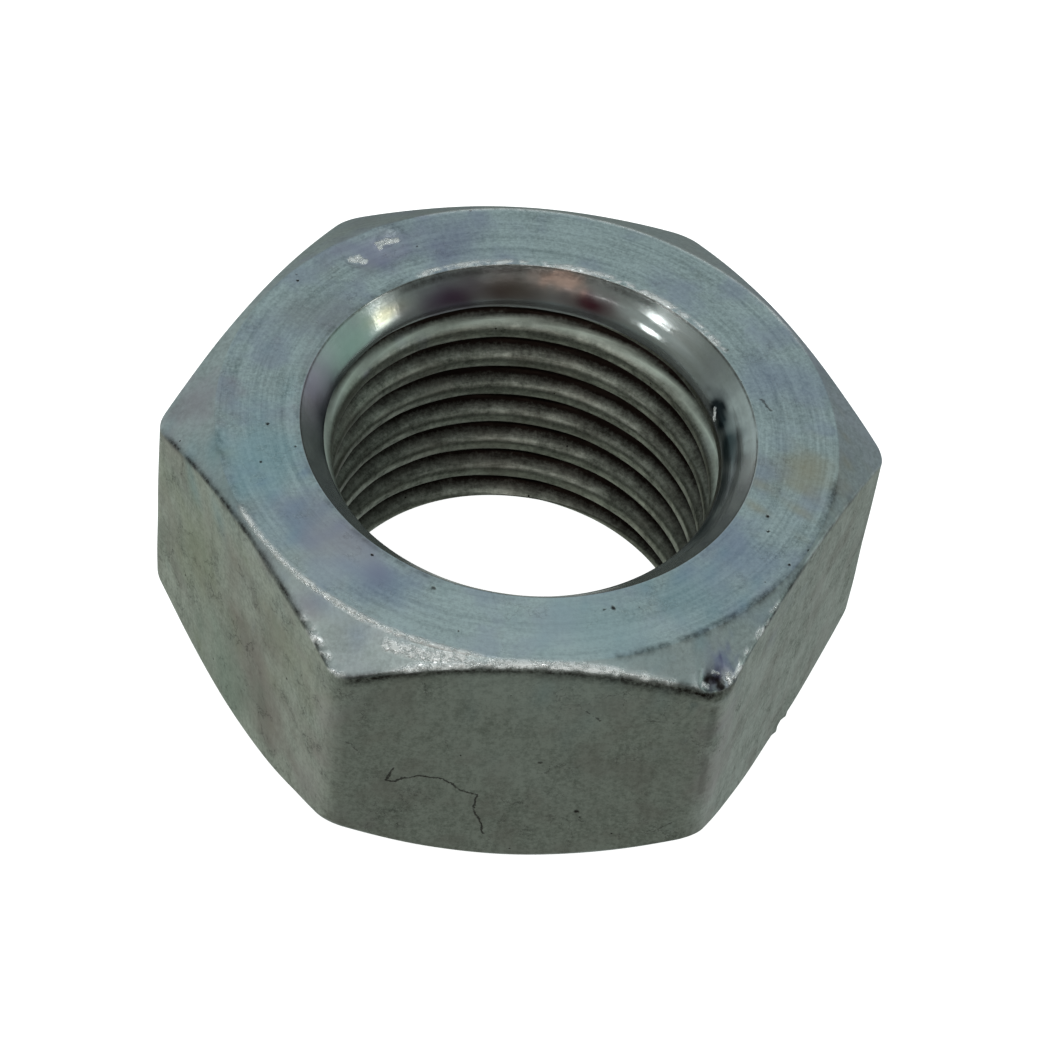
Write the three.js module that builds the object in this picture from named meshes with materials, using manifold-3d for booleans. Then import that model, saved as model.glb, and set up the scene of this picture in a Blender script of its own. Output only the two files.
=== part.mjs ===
// A plain hexagon nut with a fine metric thread: M20 x 2, 30 mm across flats, 16 mm high.
//
// The nut is one forged and tapped piece of steel. Millimetres, +Z up. The thread axis is the
// Z axis, the lower bearing face lies on z = 0, and two corners of the hexagon point along X.

import * as THREE from 'three';
import { mergeVertices } from 'three/addons/utils/BufferGeometryUtils.js';
import Module from 'manifold-3d';

const wasm = await Module();
wasm.setup();

// ---- driving dimensions, mm and degrees -------------------------------------------------

const ACROSS_FLATS = 30;
const NUT_HEIGHT = 16;
const CORNER_RADIUS = 1.5; // rounding of the six upright edges

const TOP_FACE_SETBACK = 0.4; // how far the upper bearing face stops inside the flats
const TOP_CHAMFER_ANGLE = 32; // fall of the upper corner chamfer below the face
const BOTTOM_LAND_WIDTH = 1.8; // flat ring between the lower mouth and the lower chamfer
const BOTTOM_CHAMFER_ANGLE = 40; // rise of the lower corner chamfer above the face

const THREAD_DIAMETER = 20; // nominal, at the root of the nut's thread
const THREAD_PITCH = 2;
const THREAD_FLANK_ANGLE = 30; // each flank against the plane square to the axis
const TAP_DRILL_ALLOWANCE = 0.165; // bore over the basic minor diameter, middle of class 6H
const GROOVE_HEIGHT_AT_X = 1.16; // where one turn's groove centre crosses the +X half plane

const TOP_MOUTH_MARGIN = 0.75; // countersink mouth radius over the thread radius
const TOP_MOUTH_ANGLE = 104; // included angle of the upper countersink
const BOTTOM_MOUTH_MARGIN = 0.4;
const BOTTOM_MOUTH_ANGLE = 120;

// ---- facet counts -----------------------------------------------------------------------

const CHAMFER_SEGMENTS = 96;
const BORE_SEGMENTS = 48;
const CORNER_SEGMENTS = 4;
const STEPS_PER_TURN = 48;

// ---- sizes that follow ------------------------------------------------------------------

const OVERCUT = 1; // how far a cutter runs past the face that it opens
const GROOVE_OVERCUT = 0.2; // how far the groove cutter stands into the bore
const HEX_SIDES = 6;
const FLAT_RADIUS = ACROSS_FLATS / 2;
const ROOT_RADIUS = THREAD_DIAMETER / 2;
const SHARP_HEIGHT = (THREAD_PITCH / 2) / Math.tan(radians(THREAD_FLANK_ANGLE)); // full 60 degree V
const BASIC_DEPTH = (5 / 8) * SHARP_HEIGHT;
const ROOT_FLAT = THREAD_PITCH / 8;
const BORE_RADIUS = ROOT_RADIUS - BASIC_DEPTH + TAP_DRILL_ALLOWANCE / 2;
const TOP_MOUTH_RADIUS = ROOT_RADIUS + TOP_MOUTH_MARGIN;
const BOTTOM_MOUTH_RADIUS = ROOT_RADIUS + BOTTOM_MOUTH_MARGIN;
const TOP_FACE_RADIUS = FLAT_RADIUS - TOP_FACE_SETBACK;
const BOTTOM_FACE_RADIUS = BOTTOM_MOUTH_RADIUS + BOTTOM_LAND_WIDTH;

function radians(degrees) {
  return THREE.MathUtils.degToRad(degrees);
}

// ---- between three.js geometry and manifold solids --------------------------------------

function toSolid(geometry) {
  const bare = geometry.clone();
  bare.deleteAttribute('normal');
  bare.deleteAttribute('uv');
  const merged = mergeVertices(bare, 1e-5);
  const corners = [];
  const index = merged.index.array;
  for (let i = 0; i < index.length; i += 3) {
    const [a, b, c] = index.subarray(i, i + 3);
    if (a !== b && b !== c && c !== a) corners.push(a, b, c); // a pole's triangles collapse
  }
  return new wasm.Manifold(new wasm.Mesh({
    numProp: 3,
    vertProperties: new Float32Array(merged.attributes.position.array),
    triVerts: new Uint32Array(corners),
  }));
}

function toGeometry(solid) {
  const mesh = solid.getMesh();
  const geometry = new THREE.BufferGeometry();
  geometry.setAttribute('position', new THREE.BufferAttribute(mesh.vertProperties, 3));
  geometry.setIndex(new THREE.BufferAttribute(mesh.triVerts, 1));
  geometry.computeVertexNormals();
  return geometry;
}

// ---- the blank --------------------------------------------------------------------------

// Hexagon outline with rounded corners, a corner on the X axis.
function hexagonOutline() {
  const outline = new THREE.Shape();
  const centreDistance = (FLAT_RADIUS - CORNER_RADIUS) / Math.cos(Math.PI / HEX_SIDES);
  for (let side = 0; side < HEX_SIDES; side += 1) {
    const angle = (side * 2 * Math.PI) / HEX_SIDES;
    const x = centreDistance * Math.cos(angle);
    const y = centreDistance * Math.sin(angle);
    outline.absarc(x, y, CORNER_RADIUS, angle - Math.PI / HEX_SIDES, angle + Math.PI / HEX_SIDES, false);
  }
  outline.closePath();
  return outline;
}

// A solid turned about Z from [radius, height] pairs that start and end on the axis.
function turned(profile, segments) {
  const points = profile.map(([radius, height]) => new THREE.Vector2(radius, height));
  const geometry = new THREE.LatheGeometry(points, segments);
  geometry.rotateX(Math.PI / 2);
  return toSolid(geometry);
}

// The round body that the hexagon's corners are chamfered to, at both faces.
function chamferEnvelope() {
  const reach = ACROSS_FLATS; // past every corner
  const topFall = (reach - TOP_FACE_RADIUS) * Math.tan(radians(TOP_CHAMFER_ANGLE));
  const bottomRise = (reach - BOTTOM_FACE_RADIUS) * Math.tan(radians(BOTTOM_CHAMFER_ANGLE));
  const waist = crossing(NUT_HEIGHT - topFall, bottomRise, reach);
  return turned([
    [0, 0],
    [BOTTOM_FACE_RADIUS, 0],
    [waist.radius, waist.height],
    [TOP_FACE_RADIUS, NUT_HEIGHT],
    [0, NUT_HEIGHT],
  ], CHAMFER_SEGMENTS);
}

// Where the two chamfer cones meet, found along the straight lines to their heights at reach.
function crossing(topHeight, bottomHeight, reach) {
  const topSlope = (topHeight - NUT_HEIGHT) / (reach - TOP_FACE_RADIUS);
  const bottomSlope = bottomHeight / (reach - BOTTOM_FACE_RADIUS);
  const radius = (NUT_HEIGHT - topSlope * TOP_FACE_RADIUS + bottomSlope * BOTTOM_FACE_RADIUS)
    / (bottomSlope - topSlope);
  return { radius, height: bottomSlope * (radius - BOTTOM_FACE_RADIUS) };
}

function forgedBlank() {
  const prism = new THREE.ExtrudeGeometry(hexagonOutline(), {
    depth: NUT_HEIGHT,
    bevelEnabled: false,
    curveSegments: CORNER_SEGMENTS,
  });
  return toSolid(prism).intersect(chamferEnvelope());
}

// ---- the bore, its mouths and the thread ------------------------------------------------

function boreCutter() {
  return turned([
    [0, -OVERCUT],
    [BORE_RADIUS, -OVERCUT],
    [BORE_RADIUS, NUT_HEIGHT + OVERCUT],
    [0, NUT_HEIGHT + OVERCUT],
  ], BORE_SEGMENTS);
}

// A cone that opens from inside the bore to the mouth radius at the face, and on past it.
function mouthCutter(faceHeight, outward, mouthRadius, includedAngle) {
  const spread = Math.tan(radians(includedAngle / 2));
  const depth = mouthRadius / spread;
  const profile = [
    [0, faceHeight - outward * depth],
    [mouthRadius + OVERCUT * spread, faceHeight + outward * OVERCUT],
    [0, faceHeight + outward * OVERCUT],
  ];
  return turned(outward > 0 ? profile : profile.reverse(), BORE_SEGMENTS);
}

// A right-hand helix about Z. Its frames stay radial and axial, so that a section drawn with
// x outward and y along the axis keeps its angles all the way round.
class ThreadHelix extends THREE.Curve {
  constructor(radius, pitch, startHeight, turns) {
    super();
    this.radius = radius;
    this.pitch = pitch;
    this.startHeight = startHeight;
    this.turns = turns;
  }

  getPoint(t, target = new THREE.Vector3()) {
    const angle = 2 * Math.PI * this.turns * t;
    const height = this.startHeight + this.pitch * this.turns * t;
    return target.set(this.radius * Math.cos(angle), this.radius * Math.sin(angle), height);
  }

  computeFrenetFrames(segments) {
    const frames = { tangents: [], normals: [], binormals: [] };
    for (let i = 0; i <= segments; i += 1) {
      const angle = (2 * Math.PI * this.turns * i) / segments;
      frames.tangents.push(new THREE.Vector3(-Math.sin(angle), Math.cos(angle), 0));
      frames.normals.push(new THREE.Vector3(Math.cos(angle), Math.sin(angle), 0));
      frames.binormals.push(new THREE.Vector3(0, 0, -1));
    }
    return frames;
  }
}

// Section of the tapped groove: the root flat and two flanks, which run on a little way into
// the bore without meeting the next turn.
function grooveSection() {
  const flankRun = ROOT_RADIUS - BORE_RADIUS + GROOVE_OVERCUT;
  const rootHalf = ROOT_FLAT / 2;
  const openHalf = rootHalf + flankRun * Math.tan(radians(THREAD_FLANK_ANGLE));
  const section = new THREE.Shape();
  section.moveTo(-flankRun, -openHalf);
  section.lineTo(0, -rootHalf);
  section.lineTo(0, rootHalf);
  section.lineTo(-flankRun, openHalf);
  section.closePath();
  return section;
}

function threadCutter() {
  const turnsBelow = Math.ceil((GROOVE_HEIGHT_AT_X + THREAD_PITCH) / THREAD_PITCH);
  const startHeight = GROOVE_HEIGHT_AT_X - turnsBelow * THREAD_PITCH;
  const turns = Math.ceil((NUT_HEIGHT + THREAD_PITCH - startHeight) / THREAD_PITCH);
  const helix = new ThreadHelix(ROOT_RADIUS, THREAD_PITCH, startHeight, turns);
  return toSolid(new THREE.ExtrudeGeometry(grooveSection(), {
    extrudePath: helix,
    steps: turns * STEPS_PER_TURN,
    bevelEnabled: false,
  }));
}

// ---- the nut ----------------------------------------------------------------------------

function nutSolid() {
  const topMouth = mouthCutter(NUT_HEIGHT, 1, TOP_MOUTH_RADIUS, TOP_MOUTH_ANGLE);
  const bottomMouth = mouthCutter(0, -1, BOTTOM_MOUTH_RADIUS, BOTTOM_MOUTH_ANGLE);
  return forgedBlank()
    .subtract(boreCutter())
    .subtract(threadCutter())
    .subtract(topMouth)
    .subtract(bottomMouth);
}

const zincPlatedSteel = new THREE.MeshStandardMaterial({
  name: 'zinc_plated_steel',
  color: 0x98a3a0,
  metalness: 0.9,
  roughness: 0.38,
  flatShading: true,
});

const nutBody = new THREE.Mesh(toGeometry(nutSolid()), zincPlatedSteel);
nutBody.name = 'nut_body';

const hexNut = new THREE.Group();
hexNut.name = 'hex_nut';
hexNut.add(nutBody);

export default hexNut;
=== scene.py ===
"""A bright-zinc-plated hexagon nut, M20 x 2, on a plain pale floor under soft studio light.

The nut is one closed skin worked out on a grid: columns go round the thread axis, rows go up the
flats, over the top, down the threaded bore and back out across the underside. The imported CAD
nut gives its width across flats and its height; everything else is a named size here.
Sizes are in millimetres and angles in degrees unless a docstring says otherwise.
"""

import logging
import math
from dataclasses import dataclass, field
from enum import Enum

import bpy
import numpy as np
from mathutils import Matrix, Vector


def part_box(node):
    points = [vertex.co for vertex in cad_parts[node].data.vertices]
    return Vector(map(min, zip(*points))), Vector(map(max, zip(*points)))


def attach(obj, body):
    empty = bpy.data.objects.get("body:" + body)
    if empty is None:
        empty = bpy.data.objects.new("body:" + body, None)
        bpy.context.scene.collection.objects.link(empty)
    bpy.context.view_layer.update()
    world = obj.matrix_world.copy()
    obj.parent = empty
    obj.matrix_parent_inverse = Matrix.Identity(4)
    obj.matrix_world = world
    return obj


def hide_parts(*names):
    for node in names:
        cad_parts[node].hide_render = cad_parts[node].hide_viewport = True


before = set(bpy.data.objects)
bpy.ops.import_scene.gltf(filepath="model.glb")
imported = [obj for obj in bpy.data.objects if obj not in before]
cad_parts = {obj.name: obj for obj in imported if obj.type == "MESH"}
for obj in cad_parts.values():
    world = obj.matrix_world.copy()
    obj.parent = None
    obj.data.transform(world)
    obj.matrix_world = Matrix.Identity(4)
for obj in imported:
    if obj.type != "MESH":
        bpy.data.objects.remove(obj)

logging.basicConfig(level=logging.INFO, format="%(name)s: %(message)s")
LOG = logging.getLogger("hex_nut")

Tree = bpy.types.NodeTree
Socket = bpy.types.NodeSocket
Point = tuple[float, float, float]

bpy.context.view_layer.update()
MM = 0.001
NUT_NODE = "nut_body"
HEX_SIDES = 6


class Region(Enum):
    """The differently worked areas of the skin; the value is the material's index."""

    DRAWN_FLAT = 0
    CORNER_CHAMFER = 1
    TURNED_FACE = 2
    COUNTERSINK = 3
    THREAD = 4


def linear(code: str) -> tuple[float, float, float, float]:
    """Turns an sRGB hex colour into linear light.

    Args:
        code: six hex digits, such as "8c9aa0".

    Returns:
        Linear red, green and blue with an alpha of 1.
    """
    shares = [int(code[i : i + 2], 16) / 255 for i in (0, 2, 4)]
    light = [s / 12.92 if s <= 0.04045 else ((s + 0.055) / 1.055) ** 2.4 for s in shares]
    return (*light, 1.0)


def add(
    tree: Tree, kind: str, inputs: dict | None = None, out: str = "Value", **settings: object
) -> Socket:
    """Adds one node with its settings and its links.

    Args:
        tree: the node tree that gets the node.
        kind: the node's type name, without the ShaderNode that they all start with.
        inputs: input names or numbers, each with a value or with the socket to link from.
        out: the name of the output to hand back.
        **settings: the node's own properties.

    Returns:
        The named output of the new node.
    """
    made = tree.nodes.new("ShaderNode" + kind)
    for name, value in settings.items():
        setattr(made, name, value)
    for name, value in (inputs or {}).items():
        if isinstance(value, Socket):
            tree.links.new(value, made.inputs[name])
        else:
            made.inputs[name].default_value = value
    return made.outputs[out]


# ---- shape -------------------------------------------------------------------------------


def soft_max(a: np.ndarray, b: np.ndarray, radius: float) -> np.ndarray:
    """The larger of two heights, with the crease between them rounded over about the radius."""
    return 0.5 * (a + b + np.sqrt((a - b) ** 2 + radius**2))


def soft_min(a: np.ndarray, b: np.ndarray, radius: float) -> np.ndarray:
    """The smaller of two heights, with the crease between them rounded over about the radius."""
    return -soft_max(-a, -b, radius)


def ripple(places: np.ndarray, wavelength: float, waves: int, seed: int) -> np.ndarray:
    """Smooth unevenness: the mean of plane sine waves in seeded directions, scaled to about one.

    Args:
        places: points in millimetres, with the coordinates in the last axis.
        wavelength: the middle wavelength in millimetres; waves spread from 0.6 to 1.6 times it.
        waves: how many waves are added up.
        seed: picks the directions, lengths and phases.

    Returns:
        One value for each point.
    """
    draw = np.random.default_rng(seed)
    total = np.zeros(places.shape[:-1])
    for _ in range(waves):
        direction = draw.normal(size=places.shape[-1])
        direction /= np.linalg.norm(direction)
        length = wavelength * draw.uniform(0.6, 1.6)
        phase = draw.uniform(0, 2 * math.pi)
        total += np.sin(places @ direction * (2 * math.pi / length) + phase)
    return total * math.sqrt(2 / waves)


@dataclass(frozen=True)
class Offset:
    """How far a circle's centre lies from the hexagon's axis, in millimetres."""

    x: float = 0.0
    y: float = 0.0

    def reach(self, angle: np.ndarray) -> np.ndarray:
        """How much further out the shifted circle passes at each angle, to first order."""
        return self.x * np.cos(angle) + self.y * np.sin(angle)


@dataclass(frozen=True)
class Dent:
    """A round mark pressed in where the nut was knocked, in millimetres.

    The depth falls off as a bell curve from the centre, and pushed-up metal stands round it as a
    low ring, whose middle and width are shares of the pit's radius.
    """

    centre: Point
    radius: float
    depth: float
    lip: float = 0.0
    ring_middle: float = 1.45
    ring_width: float = 0.35

    def height(self, places: np.ndarray) -> np.ndarray:
        """Outward movement: a bell-shaped pit and a bell-shaped ring round it.

        Args:
            places: points in millimetres, with the coordinates in the last axis.

        Returns:
            The movement in millimetres at each point, below zero in the pit.
        """
        away = np.linalg.norm(places - np.array(self.centre), axis=-1) / self.radius
        pit = -self.depth * np.exp(-(away**2))
        ring = self.lip * np.exp(-(((away - self.ring_middle) / self.ring_width) ** 2))
        return pit + ring


@dataclass(frozen=True)
class ColourPatch:
    """A soft patch of colour in millimetres and sRGB hex; some are passivate tints, some painted light.
    """

    centre: Point
    radius: float
    colour: str
    strength: float
    mouth_reflection: bool = False

    @property
    def unevenness(self) -> float:
        """How ragged the patch's border is; polished metal keeps it smoother."""
        return 0.1 if self.mouth_reflection else 0.25


class Edge(Enum):
    """The worked edges that carry bands of painted glints, or of grime and painted shade."""

    FLAT_HEAD = "where a flat meets the upper chamfer"
    FACE_CIRCLE = "where the upper chamfer meets the turned face"
    MOUTH_RIM = "where the turned face meets the countersink"
    FLAT_FOOT = "where a flat meets the lower chamfer"


@dataclass(frozen=True)
class Band:
    """A band of painted glints on scuffed metal, or of grime and painted shade, along part of an edge.

    Angles are in degrees, anticlockwise from +X. The offset is how far past the edge the band's
    middle lies, in millimetres, counted from the flats towards the bore. The break-up is how
    much of the band a ripple of the given wavelength takes away; above 1 it leaves gaps.
    """

    edge: Edge
    start: float
    end: float
    offset: float
    width: float
    strength: float
    breakup: float = 0.5
    wavelength: float = 0.8
    fade_angle: float = 4.0

    def amount(self, past: np.ndarray, angle: np.ndarray, points: np.ndarray) -> np.ndarray:
        """Strength: a bell curve across the edge, faded in and out along it, less the ripples.

        Args:
            past: distance past the edge at each place, in millimetres.
            angle: angle round the axis of each column, in radians.
            points: the places themselves, in millimetres.

        Returns:
            The band's strength at each place; gaps come out below zero.
        """
        across = np.exp(-(((past - self.offset) / self.width) ** 2))
        turn = np.mod(np.degrees(angle) - self.start, 360)
        span = self.end - self.start
        fade = np.clip(np.minimum(turn, span - turn) / self.fade_angle, 0, 1)
        fine = ripple(points, self.wavelength, 10, seed=int(self.start) + 7)
        broad = ripple(points, 2.7 * self.wavelength, 10, seed=int(self.end) + 9)
        wave = np.clip(0.5 + 0.35 * (fine + broad), 0, 1)
        return self.strength * across * fade * (1 - self.breakup * wave)


@dataclass(frozen=True)
class Mark:
    """A fine line or a spot on the surface, through the given points, in millimetres."""

    path: tuple[Point, ...]
    width: float
    strength: float = 1.0

    def stretches(self) -> list[tuple[Point, Point]]:
        """The path's straight stretches as pairs of ends; a spot is one stretch of no length."""
        return list(zip(self.path, self.path[1:] or self.path))


@dataclass(frozen=True)
class NutSizes:
    """Every size of the nut in millimetres and degrees; the first two come from the CAD."""

    across_flats: float
    height: float
    corner_radius: float = 1.5
    top_setback: float = 0.4
    top_chamfer: float = 32.0
    top_circle: Offset = Offset(0.08, -0.14)
    bottom_face_radius: float = 12.2
    bottom_chamfer: float = 40.0
    bottom_circle: Offset = Offset(0.1, -0.3)
    thread_radius: float = 10.0
    crest_radius: float = 8.98
    pitch: float = 2.0
    flank_angle: float = 30.0
    root_flat: float = 0.25
    groove_height_at_x: float = 1.16
    first_flank: float = 12.7
    thread_axis: Offset = Offset(0.1, 0.0)
    top_mouth_radius: float = 10.73
    top_mouth_circle: Offset = Offset(0.13, -0.3)
    top_mouth_slope: float = 0.95
    top_mouth_depth: float = 1.75
    lead_in_radius: float = 9.45
    lead_in_slope: float = 0.14
    bottom_mouth_radius: float = 10.4
    bottom_mouth_slope: float = 1.73
    bottom_mouth_depth: float = 0.85

    @property
    def flat_radius(self) -> float:
        """Distance from the axis to a flat."""
        return self.across_flats / 2


@dataclass
class NutSkin:
    """The nut's one closed surface, as a grid of rows along its section and columns round it."""

    sizes: NutSizes
    columns: int = 504
    corner_crowding: float = 0.45
    edge_softness: float = 0.16
    circle_softness: float = 0.1
    rim_softness: float = 0.05
    root_softness: float = 0.12
    crest_softness: float = 0.1
    bell_softness: float = 0.3
    cut_softness: float = 0.05
    blend_rows: int = 3
    rows: list = field(default_factory=list)
    regions: list = field(default_factory=list)
    edge_rows: dict = field(default_factory=dict)

    def __post_init__(self) -> None:
        """Spaces the columns: closer together at the six corners than along the flats."""
        even = np.arange(self.columns) * (2 * math.pi / self.columns)
        self.angle = even - self.corner_crowding / HEX_SIDES * np.sin(HEX_SIDES * even)

    def hexagon(self) -> np.ndarray:
        """Distance from the axis to the rounded hexagon.

        Along a flat it is the flat's distance over the cosine of the angle from the flat's
        middle; round a corner it is where the ray meets the corner's arc.

        Returns:
            The distance in millimetres at each column.
        """
        sizes = self.sizes
        half = math.pi / HEX_SIDES
        from_flat = np.mod(self.angle, 2 * half) - half
        from_corner = half - np.abs(from_flat)
        centre = (sizes.flat_radius - sizes.corner_radius) / math.cos(half)
        on_flat = sizes.flat_radius / np.cos(from_flat)
        inside = np.maximum(sizes.corner_radius**2 - (centre * np.sin(from_corner)) ** 2, 0)
        on_arc = centre * np.cos(from_corner) + np.sqrt(inside)
        arc_starts = math.atan2(centre * math.sin(half), sizes.flat_radius)
        return np.where(np.abs(from_flat) > arc_starts, on_arc, on_flat)

    def put(self, row: np.ndarray, region: Region) -> None:
        """Adds one row of [radius, height] pairs, and names the region that follows it."""
        self.rows.append(row)
        self.regions.append(region.value)

    def leg(
        self, start: np.ndarray, end: np.ndarray, count: int, region: Region, crowd: float = 0.0
    ) -> None:
        """Adds rows in a straight line between two rows.

        Args:
            start: the first row, as [radius, height] pairs.
            end: the last row.
            count: how many rows the leg has, both ends included.
            region: the region the leg belongs to.
            crowd: how strongly the rows crowd towards both ends, from 0 to 1.
        """
        even = np.linspace(0, 1, count)
        share = even - crowd * np.sin(2 * math.pi * even) / (2 * math.pi)
        for t in share:
            self.put(start + t * (end - start), region)

    def corner(
        self,
        before: np.ndarray,
        corner: np.ndarray,
        after: np.ndarray,
        region: Region,
        edge: Edge | None = None,
    ) -> None:
        """Adds a rounded edge: a quadratic curve that leaves and meets the two legs smoothly.

        Args:
            before: the row where the first leg ends.
            corner: the row of the sharp edge.
            after: the row where the next leg starts.
            region: the region the edge belongs to.
            edge: the edge's name, for the bands that lie along it.
        """
        if edge:
            self.edge_rows[edge] = len(self.rows) + self.blend_rows // 2
        for t in np.linspace(0, 1, self.blend_rows + 2)[1:-1]:
            self.put((1 - t) ** 2 * before + 2 * t * (1 - t) * corner + t**2 * after, region)

    @staticmethod
    def toward(start: np.ndarray, end: np.ndarray, distance: float) -> np.ndarray:
        """The place at a distance from one row towards another, at most 0.4 of the way.

        Args:
            start: the row set out from.
            end: the row headed for.
            distance: how far to go, in millimetres.

        Returns:
            A row of [radius, height] pairs.
        """
        gap = end - start
        length = np.linalg.norm(gap, axis=-1, keepdims=True)
        return start + gap / length * np.minimum(distance, 0.4 * length)

    def thread(self, height: np.ndarray) -> np.ndarray:
        """Radius of the thread before its mouths are cut.

        It is a 60 degree V with a flat root and crest, a function of the distance along the axis
        from the nearest groove centre, which climbs one pitch for each turn.

        Args:
            height: heights of the rows, in millimetres.

        Returns:
            Radii, one row for each height and one column for each angle.
        """
        sizes = self.sizes
        turn = self.angle[None, :] / (2 * math.pi)
        phase = (height[:, None] - sizes.groove_height_at_x) / sizes.pitch - turn
        along = np.abs(phase - np.round(phase)) * sizes.pitch
        slope = math.tan(math.radians(sizes.flank_angle))
        flank = sizes.thread_radius - (along - sizes.root_flat / 2) / slope
        groove = soft_min(flank, np.full_like(flank, sizes.thread_radius), self.root_softness)
        cut = soft_max(groove, np.full_like(flank, sizes.crest_radius), self.crest_softness)
        return cut + sizes.thread_axis.reach(self.angle)[None, :]

    def inner_radius(self, height: np.ndarray) -> np.ndarray:
        """Radius of the hole: the largest of the thread and its two mouths, with rounded creases.

        The upper mouth is a bell, a cone that runs into a long shallow lead-in, and the lower
        one is a cone.

        Args:
            height: heights of the rows, in millimetres.

        Returns:
            Radii, one row for each height and one column for each angle.
        """
        sizes = self.sizes
        thread = self.thread(height)
        depth = np.maximum(sizes.height - height, 0.0)[:, None]
        flare = sizes.top_mouth_radius - sizes.top_mouth_slope * depth
        flare = flare + sizes.top_mouth_circle.reach(self.angle)[None, :]
        lead = sizes.lead_in_radius - sizes.lead_in_slope * depth
        lead = lead + sizes.thread_axis.reach(self.angle)[None, :]
        bell = soft_max(flare, lead, self.bell_softness)
        cone = sizes.bottom_mouth_radius - sizes.bottom_mouth_slope * height[:, None]
        cone = np.broadcast_to(cone, thread.shape)
        return soft_max(soft_max(thread, bell, self.cut_softness), cone, self.cut_softness)

    def section(self) -> None:
        """Lays the rows: up the flats, over the top, down the bore and out across the underside.

        Each chamfer is a cone, so its edge on a flat falls with the hexagon's distance from the
        cone's circle.
        """
        sizes = self.sizes
        top = sizes.height
        hexagon = self.hexagon()
        face_edge = sizes.flat_radius - sizes.top_setback + sizes.top_circle.reach(self.angle)
        under_edge = sizes.bottom_face_radius + sizes.bottom_circle.reach(self.angle)
        mouth = sizes.top_mouth_radius + sizes.top_mouth_circle.reach(self.angle)
        under_mouth = np.full(self.columns, sizes.bottom_mouth_radius)
        fall = (hexagon - face_edge) * math.tan(math.radians(sizes.top_chamfer))
        rise = (hexagon - under_edge) * math.tan(math.radians(sizes.bottom_chamfer))
        flat_foot = np.stack([hexagon, rise], axis=-1)
        flat_head = np.stack([hexagon, top - fall], axis=-1)
        face_rim = np.stack([face_edge, np.full(self.columns, top)], axis=-1)
        mouth_rim = np.stack([mouth, np.full(self.columns, top)], axis=-1)
        mouth_foot = np.stack([under_mouth, np.zeros(self.columns)], axis=-1)
        under_rim = np.stack([under_edge, np.zeros(self.columns)], axis=-1)

        # Rows stand closer together just inside the two mouths, where the section bends most.
        heights = np.concatenate([
            top - np.geomspace(0.05, 0.6, 7),
            np.linspace(top - 0.7, 0.95, 92),
            np.geomspace(0.9, 0.05, 8),
        ])
        radii = self.inner_radius(heights)
        hole = np.stack([radii, np.broadcast_to(heights[:, None], radii.shape)], axis=-1)

        foot_up = self.toward(flat_foot, flat_head, self.edge_softness)
        head_down = self.toward(flat_head, flat_foot, self.edge_softness)
        head_in = self.toward(flat_head, face_rim, self.edge_softness)
        face_out = self.toward(face_rim, flat_head, self.circle_softness)
        face_in = self.toward(face_rim, mouth_rim, self.circle_softness)
        rim_out = self.toward(mouth_rim, face_rim, self.rim_softness)
        under_in = self.toward(mouth_foot, under_rim, self.rim_softness)
        under_out = self.toward(under_rim, mouth_foot, self.circle_softness)
        under_up = self.toward(under_rim, flat_foot, self.circle_softness)
        foot_down = self.toward(flat_foot, under_rim, self.edge_softness)

        self.leg(foot_up, head_down, 26, Region.DRAWN_FLAT, crowd=0.8)
        self.corner(head_down, flat_head, head_in, Region.CORNER_CHAMFER, Edge.FLAT_HEAD)
        self.leg(head_in, face_out, 9, Region.CORNER_CHAMFER, crowd=0.5)
        self.corner(face_out, face_rim, face_in, Region.TURNED_FACE, Edge.FACE_CIRCLE)
        self.leg(face_in, rim_out, 22, Region.TURNED_FACE, crowd=0.6)
        self.corner(rim_out, mouth_rim, hole[0], Region.COUNTERSINK, Edge.MOUTH_RIM)
        for row, height in zip(hole, heights):
            polished = height > top - sizes.top_mouth_depth or height < sizes.bottom_mouth_depth
            self.put(row, Region.COUNTERSINK if polished else Region.THREAD)
        self.corner(hole[-1], mouth_foot, under_in, Region.TURNED_FACE)
        self.leg(under_in, under_out, 5, Region.TURNED_FACE)
        self.corner(under_out, under_rim, under_up, Region.CORNER_CHAMFER)
        self.leg(under_up, foot_down, 9, Region.CORNER_CHAMFER)
        self.corner(foot_down, flat_foot, foot_up, Region.DRAWN_FLAT, Edge.FLAT_FOOT)

    def points(self) -> np.ndarray:
        """The grid in space: each row's radius turned to its column's angle.

        Returns:
            Rows by columns by three, in millimetres.
        """
        grid = np.stack(self.rows)
        radius, height = grid[..., 0], grid[..., 1]
        return np.stack([radius * np.cos(self.angle), radius * np.sin(self.angle), height], axis=-1)


def outward(points: np.ndarray) -> np.ndarray:
    """Unit normals of a grid closed both ways: the cross product of its two central differences.

    Args:
        points: rows by columns by three.

    Returns:
        One outward unit vector for each point.
    """
    around = np.roll(points, -1, axis=1) - np.roll(points, 1, axis=1)
    along = np.roll(points, -1, axis=0) - np.roll(points, 1, axis=0)
    normal = np.cross(around, along)
    return normal / np.maximum(np.linalg.norm(normal, axis=-1, keepdims=True), 1e-9)


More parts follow.
